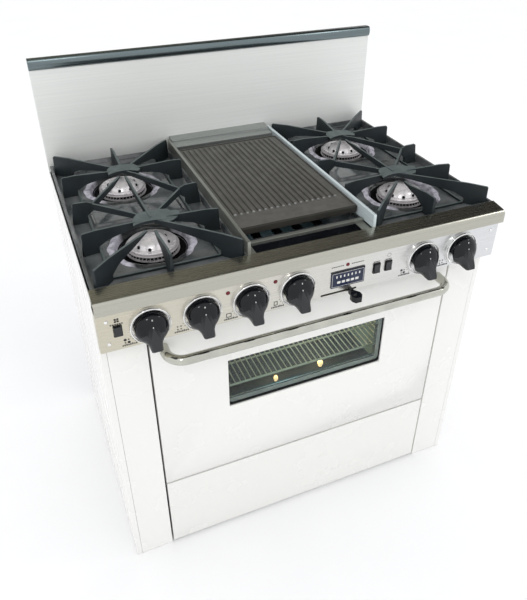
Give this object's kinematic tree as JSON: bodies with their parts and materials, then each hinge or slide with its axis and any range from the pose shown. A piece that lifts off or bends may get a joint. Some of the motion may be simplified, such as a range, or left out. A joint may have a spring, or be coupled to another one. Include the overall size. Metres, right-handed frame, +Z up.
{
  "type": "freestanding gas range",
  "caption": "Freestanding gas range with open burners, centre grill plate, windowed oven door, storage drawer, knobs and a tall backguard.",
  "frame": {"origin": "centre of the overall box at floor level", "axes": "+Z up, the front (oven door and knobs) faces -Y, +X to the right seen from the front"},
  "size_m": [0.911, 0.6866, 1.08],
  "materials": {
    "white_enamel": "gloss white enamel with a faint orange peel",
    "stainless": "brushed stainless steel",
    "grate_iron": "enamelled cast iron, fine sandy texture",
    "tray_enamel": "grey porcelain enamel",
    "plate_iron": "seasoned cast iron",
    "burner_aluminium": "cast and turned aluminium",
    "black_plastic": "gloss black moulding",
    "oven_enamel": "speckled blue-grey porcelain",
    "rack_chrome": "chromed wire",
    "glass": "clear glass",
    "brass": "machined brass",
    "red_lens": "red lamp lens",
    "badge_blue": "dark blue plate",
    "galvanised": "galvanised sheet"
  },
  "bodies": {
    "range_body": {"back_panel": "galvanised", "backguard_panel": "stainless", "backguard_trim": "stainless", "badge_plate": "badge_blue", "base_pan": "galvanised", "burner_cap_left_front": "burner_aluminium", "burner_cap_left_rear": "burner_aluminium", "burner_cap_right_front": "burner_aluminium", "burner_cap_right_rear": "burner_aluminium", "burner_head_left_front": "burner_aluminium", "burner_head_left_rear": "burner_aluminium", "burner_head_right_front": "burner_aluminium", "burner_head_right_rear": "burner_aluminium", "burner_tray_left": "tray_enamel", "burner_tray_right": "tray_enamel", "control_panel": "stainless", "door_hinge_left": "galvanised", "door_hinge_right": "galvanised", "drawer_runner_left": "galvanised", "drawer_runner_right": "galvanised", "flue_cover": "stainless", "front_column_left": "white_enamel", "front_column_right": "white_enamel", "front_ledge": "stainless", "gas_manifold": "brass", "grill_burner": "galvanised", "grill_rail_left": "stainless", "grill_rail_right": "stainless", "lamp_grill": "red_lens", "lamp_oven": "red_lens", "oven_burner": "galvanised", "oven_lamp": "glass", "oven_liner": "oven_enamel", "oven_rack_lower": "rack_chrome", "oven_rack_upper": "rack_chrome", "side_panel_left": "white_enamel", "side_panel_right": "white_enamel"},
    "oven_door": {"door_shell": "white_enamel", "door_inner_panel": "oven_enamel", "door_glass_outer": "glass", "door_glass_inner": "glass", "door_handle": "stainless"},
    "drawer": {"drawer_front": "white_enamel", "drawer_box": "galvanised"},
    "grate_left": {"grate_left": "grate_iron"},
    "grate_right": {"grate_right": "grate_iron"},
    "grill_plate": {"grill_plate": "plate_iron"},
    "grease_trough": {"grease_trough": "tray_enamel", "grill_front_bar": "stainless"},
    "convection_fan": {"convection_fan": "galvanised"},
    "latch_lever": {"latch_lever": "black_plastic"},
    "switch_fan": {"switch_fan": "black_plastic"},
    "switch_light": {"switch_light": "black_plastic"},
    "switch_spark": {"switch_spark": "black_plastic"},
    "knob_left_front": {"knob_left_front": "black_plastic"},
    "knob_left_rear": {"knob_left_rear": "black_plastic"},
    "knob_oven": {"knob_oven": "black_plastic"},
    "knob_grill": {"knob_grill": "black_plastic"},
    "knob_right_rear": {"knob_right_rear": "black_plastic"},
    "knob_right_front": {"knob_right_front": "black_plastic"}
  },
  "joints": [
    {"name": "door_hinge", "type": "hinge", "parent": "range_body", "child": "oven_door", "pos_m": [0, -0.25275, 0.243], "axis": [1, 0, 0], "range_deg": [0, 88]},
    {"name": "drawer_slide", "type": "slide", "parent": "range_body", "child": "drawer", "axis": [0, -1, 0], "range_m": [0, 0.38]},
    {"name": "grate_left_lift", "type": "slide", "parent": "range_body", "child": "grate_left", "axis": [0, 0, 1], "range_m": [0, 0.12]},
    {"name": "grate_right_lift", "type": "slide", "parent": "range_body", "child": "grate_right", "axis": [0, 0, 1], "range_m": [0, 0.12]},
    {"name": "grill_plate_lift", "type": "slide", "parent": "range_body", "child": "grill_plate", "axis": [0, 0, 1], "range_m": [0, 0.12]},
    {"name": "grease_trough_lift", "type": "slide", "parent": "range_body", "child": "grease_trough", "axis": [0, 0, 1], "range_m": [0, 0.1]},
    {"name": "knob_left_front_turn", "type": "hinge", "parent": "range_body", "child": "knob_left_front", "pos_m": [-0.357, -0.32275, 0.732], "axis": [0, -1, 0], "range_deg": [0, 270]},
    {"name": "knob_left_rear_turn", "type": "hinge", "parent": "range_body", "child": "knob_left_rear", "pos_m": [-0.255, -0.32275, 0.732], "axis": [0, -1, 0], "range_deg": [0, 270]},
    {"name": "knob_oven_turn", "type": "hinge", "parent": "range_body", "child": "knob_oven", "pos_m": [-0.153, -0.32275, 0.732], "axis": [0, -1, 0], "range_deg": [0, 300]},
    {"name": "knob_grill_turn", "type": "hinge", "parent": "range_body", "child": "knob_grill", "pos_m": [-0.051, -0.32275, 0.732], "axis": [0, -1, 0], "range_deg": [0, 270]},
    {"name": "knob_right_rear_turn", "type": "hinge", "parent": "range_body", "child": "knob_right_rear", "pos_m": [0.255, -0.32275, 0.732], "axis": [0, -1, 0], "range_deg": [0, 270]},
    {"name": "knob_right_front_turn", "type": "hinge", "parent": "range_body", "child": "knob_right_front", "pos_m": [0.357, -0.32275, 0.732], "axis": [0, -1, 0], "range_deg": [0, 270]},
    {"name": "fan_spin", "type": "hinge", "parent": "range_body", "child": "convection_fan", "pos_m": [0, 0.24425, 0.355], "axis": [0, 1, 0], "continuous": true},
    {"name": "latch_slide", "type": "slide", "parent": "range_body", "child": "latch_lever", "axis": [-1, 0, 0], "range_m": [0, 0.055]},
    {"name": "switch_fan_rock", "type": "hinge", "parent": "range_body", "child": "switch_fan", "pos_m": [-0.418, -0.29575, 0.735], "axis": [1, 0, 0], "range_deg": [-7, 7]},
    {"name": "switch_light_rock", "type": "hinge", "parent": "range_body", "child": "switch_light", "pos_m": [0.138, -0.29575, 0.733], "axis": [1, 0, 0], "range_deg": [-7, 7]},
    {"name": "switch_spark_rock", "type": "hinge", "parent": "range_body", "child": "switch_spark", "pos_m": [0.167, -0.29575, 0.733], "axis": [1, 0, 0], "range_deg": [-7, 7]}
  ]
}
